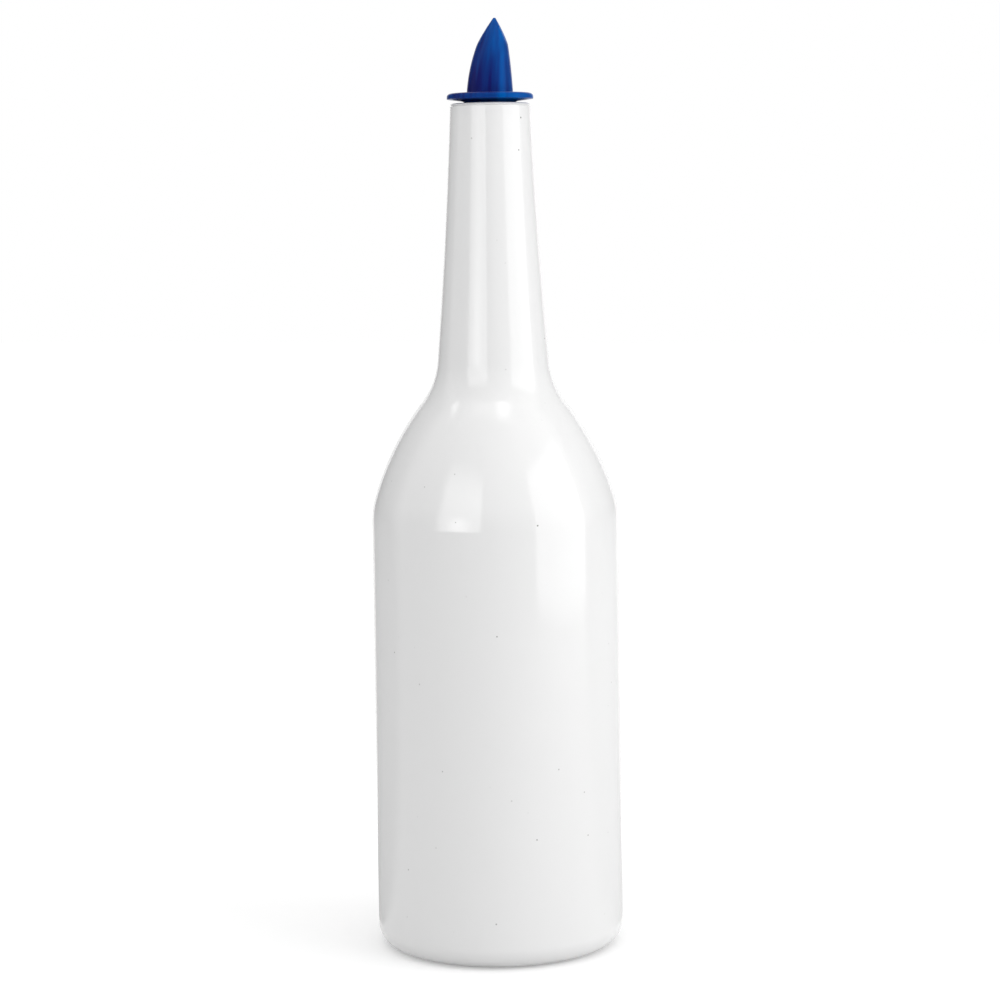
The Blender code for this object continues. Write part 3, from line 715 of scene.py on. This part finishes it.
def floor():
    """A plain pale floor, lifted to white where it is seen directly, so that only its shadow shows."""
    made, tree = new_finish("pale_floor")
    matt = add(tree, "BsdfDiffuse", {"Color": linear("dcdcdc")})[0]
    away = add(tree, "VectorMath", {0: add(tree, "TexCoord")["Object"]}, operation="LENGTH")["Value"]
    lift = add(tree, "MapRange", {
        "Value": away, "From Min": FLOOR_LIFT_START * MM, "From Max": FLOOR_LIFT_END * MM,
        "To Min": FLOOR_LIFT_NEAR, "To Max": FLOOR_LIFT_FAR}, interpolation_type="SMOOTHSTEP")["Result"]
    lift = add(tree, "Math", {0: shown_directly(tree), 1: lift}, operation="MULTIPLY")[0]
    lifted = add(tree, "Emission", {"Color": WHITE, "Strength": lift})[0]
    add(tree, "OutputMaterial", {"Surface": add(tree, "AddShader", {0: matt, 1: lifted})[0]})
    reach = FLOOR_REACH * MM
    mesh = bpy.data.meshes.new("pale_floor")
    mesh.from_pydata([(-reach, -reach, 0.0), (reach, -reach, 0.0), (reach, reach, 0.0), (-reach, reach, 0.0)], [],
                     [(0, 1, 2, 3)])
    mesh.materials.append(made)
    flat = bpy.data.objects.new("pale_floor", mesh)
    flat.location.z = -FLOOR_DROP * MM
    bpy.context.scene.collection.objects.link(flat)


def room():
    """Even light from all round, with a white background where it is seen directly."""
    made = bpy.data.worlds.new("studio_room")
    made.use_nodes = True
    tree = made.node_tree
    tree.nodes.clear()
    strength = add(tree, "MapRange", {"Value": shown_directly(tree), "To Min": ROOM_LIGHT, "To Max": 1.0})["Result"]
    lit = add(tree, "Background", {"Color": WHITE, "Strength": strength})[0]
    add(tree, "OutputWorld", {"Surface": lit})
    bpy.context.scene.world = made


def aim(made, turn, rise, distance, middle):
    """Puts a panel out of the camera's sight, facing the bottle's axis at the height middle.

    turn is its direction past the camera and rise is its angle above level, both in degrees. Its own x points to
    larger turns, its y up, and its z away from the bottle.
    """
    angle, lift = math.radians(turn) + CAMERA_TURN, math.radians(rise)
    outward = Vector((math.sin(angle) * math.cos(lift), -math.cos(angle) * math.cos(lift), math.sin(lift)))
    made.location = outward * distance * MM + Vector((0.0, 0.0, middle * MM))
    made.rotation_mode = "QUATERNION"
    made.rotation_quaternion = outward.to_track_quat("Z", "Y")
    made.visible_camera = False
    bpy.context.scene.collection.objects.link(made)


def softbox(name, place, size, brightness):
    """A soft panel that only lights. Its power is its brightness times pi times its area."""
    data = bpy.data.lights.new(name, "AREA")
    data.shape = "RECTANGLE"
    data.size, data.size_y = size[0] * MM, size[1] * MM
    data.energy = brightness * math.pi * data.size * data.size_y
    made = bpy.data.objects.new(name, data)
    made.visible_glossy = False
    aim(made, *place)


def card(name, finish, corners, faces):
    """A flat card that only mirrors show."""
    mesh = bpy.data.meshes.new(name)
    mesh.from_pydata(np.array(corners, float) * MM, [], faces)
    mesh.materials.append(finish)
    made = bpy.data.objects.new(name, mesh)
    made.visible_diffuse = made.visible_transmission = made.visible_shadow = False
    return made


def glow(name, place, size, fades, strength, core=(0.0, (0.0, 0.0), 1.0)):
    """The mirrored picture of a lamp: a card that adds light to what is behind it.

    It fades out over the widths fades, from its left, right, lower and upper edge. core is a round hot spot: what
    it adds, its centre from the card's, and its radius.
    """
    made, tree = new_finish(name + "_card")
    place_on = add(tree, "TexCoord")["Object"]
    across, up, _ = add(tree, "SeparateXYZ", {"Vector": place_on})
    hot, centre, radius = core
    off = add(tree, "VectorMath", {0: place_on, 1: (centre[0] * MM, centre[1] * MM, 0.0)},
              operation="DISTANCE")["Value"]
    light = add(tree, "MapRange", {
        "Value": off, "From Max": radius * MM, "To Min": strength + hot, "To Max": strength},
        interpolation_type="SMOOTHSTEP")["Result"]
    for along, side, fade in ((across, -size[0], fades[0]), (across, size[0], fades[1]),
                              (up, -size[1], fades[2]), (up, size[1], fades[3])):
        edge = side / 2 * MM
        share = add(tree, "MapRange", {
            "Value": along, "From Min": edge, "From Max": edge - math.copysign(fade * MM, side)},
            interpolation_type="SMOOTHSTEP")["Result"]
        light = add(tree, "Math", {0: light, 1: share}, operation="MULTIPLY")[0]
    lit = add(tree, "Emission", {"Color": WHITE, "Strength": light})[0]
    clear = add(tree, "BsdfTransparent")[0]
    add(tree, "OutputMaterial", {"Surface": add(tree, "AddShader", {0: clear, 1: lit})[0]})
    x, y = size[0] / 2, size[1] / 2
    aim(card(name, made, ((-x, -y, 0), (x, -y, 0), (x, y, 0), (-x, y, 0)), [(0, 1, 2, 3)]), *place)


def flag(name, turn, distance, width, high, foot_shade, shade):
    """A dark card behind the bottle, which its edges mirror, so that white stands out from white.

    The card stands on the floor, and a foot that narrows towards the bottle lies on the floor. The shade goes from
    the foot's to the card's as the height grows from FLAG_FOOT_HEIGHT to FLAG_SHADE_HEIGHT. On the camera's side it
    fades to white over the last FLAG_FADE of the card, and over the same slant, across / (out + distance), on the
    foot.
    """
    made, tree = new_finish(name + "_card")
    across, up, out = add(tree, "SeparateXYZ", {"Vector": add(tree, "TexCoord")["Object"]})
    away = add(tree, "Math", {0: out, 1: distance * MM}, operation="ADD")[0]
    slant = add(tree, "Math", {0: across, 1: away}, operation="DIVIDE")[0]
    edge = math.copysign(width / 2 / distance, -turn)
    faded = add(tree, "MapRange", {
        "Value": slant, "From Min": edge, "From Max": edge * (1 - 2 * FLAG_FADE / width), "To Min": 1.0,
        "To Max": 0.0}, interpolation_type="SMOOTHSTEP")["Result"]
    own = add(tree, "MapRange", {
        "Value": up, "From Min": FLAG_FOOT_HEIGHT * MM, "From Max": FLAG_SHADE_HEIGHT * MM, "To Min": foot_shade,
        "To Max": shade})["Result"]
    grey = add(tree, "Math", {0: faded, 1: own}, operation="MAXIMUM")[0]
    add(tree, "OutputMaterial", {"Surface": add(tree, "Emission", {"Color": WHITE, "Strength": grey})[0]})
    near = BODY_RADIUS + FLAG_CLEARANCE
    x, narrow, y, z = width / 2, width / 2 * near / distance, high, near - distance
    corners = ((-x, 0, 0), (x, 0, 0), (x, y, 0), (-x, y, 0), (narrow, 0, z), (-narrow, 0, z))
    aim(card(name, made, corners, [(0, 1, 2, 3), (1, 0, 5, 4)]), turn, 0.0, distance, FLAG_LIFT)


def camera():
    """The photograph's view: turned round the neck's axis, pitched down, panned and rolled."""
    data = bpy.data.cameras.new("photo_camera")
    data.sensor_width = CAMERA_SENSOR
    data.lens = CAMERA_LENS
    made = bpy.data.objects.new("photo_camera", data)
    bpy.context.scene.collection.objects.link(made)
    spin = Matrix.Rotation(CAMERA_TURN, 3, "Z")
    cos_p, sin_p = math.cos(CAMERA_PITCH), math.sin(CAMERA_PITCH)
    ahead = Vector((math.sin(CAMERA_PAN) * cos_p, math.cos(CAMERA_PAN) * cos_p, -sin_p))
    right = Vector((math.cos(CAMERA_PAN), -math.sin(CAMERA_PAN), 0.0))
    up = right.cross(ahead)
    cos_r, sin_r = math.cos(CAMERA_ROLL), math.sin(CAMERA_ROLL)
    axes = Matrix((right * cos_r - up * sin_r, right * sin_r + up * cos_r, -ahead)).transposed()
    place = spin @ Vector((0.0, -CAMERA_DISTANCE * MM, CAMERA_HEIGHT * MM))
    made.matrix_world = Matrix.Translation(place) @ (spin @ axes).to_4x4()
    bpy.context.scene.camera = made


make_pieces()
floor()
room()
for row in SOFTBOXES:
    softbox(*row)
for row in GLOWS:
    glow(*row)
for row in FLAGS:
    flag(*row)
camera()
bpy.context.scene.view_settings.view_transform = "Standard"
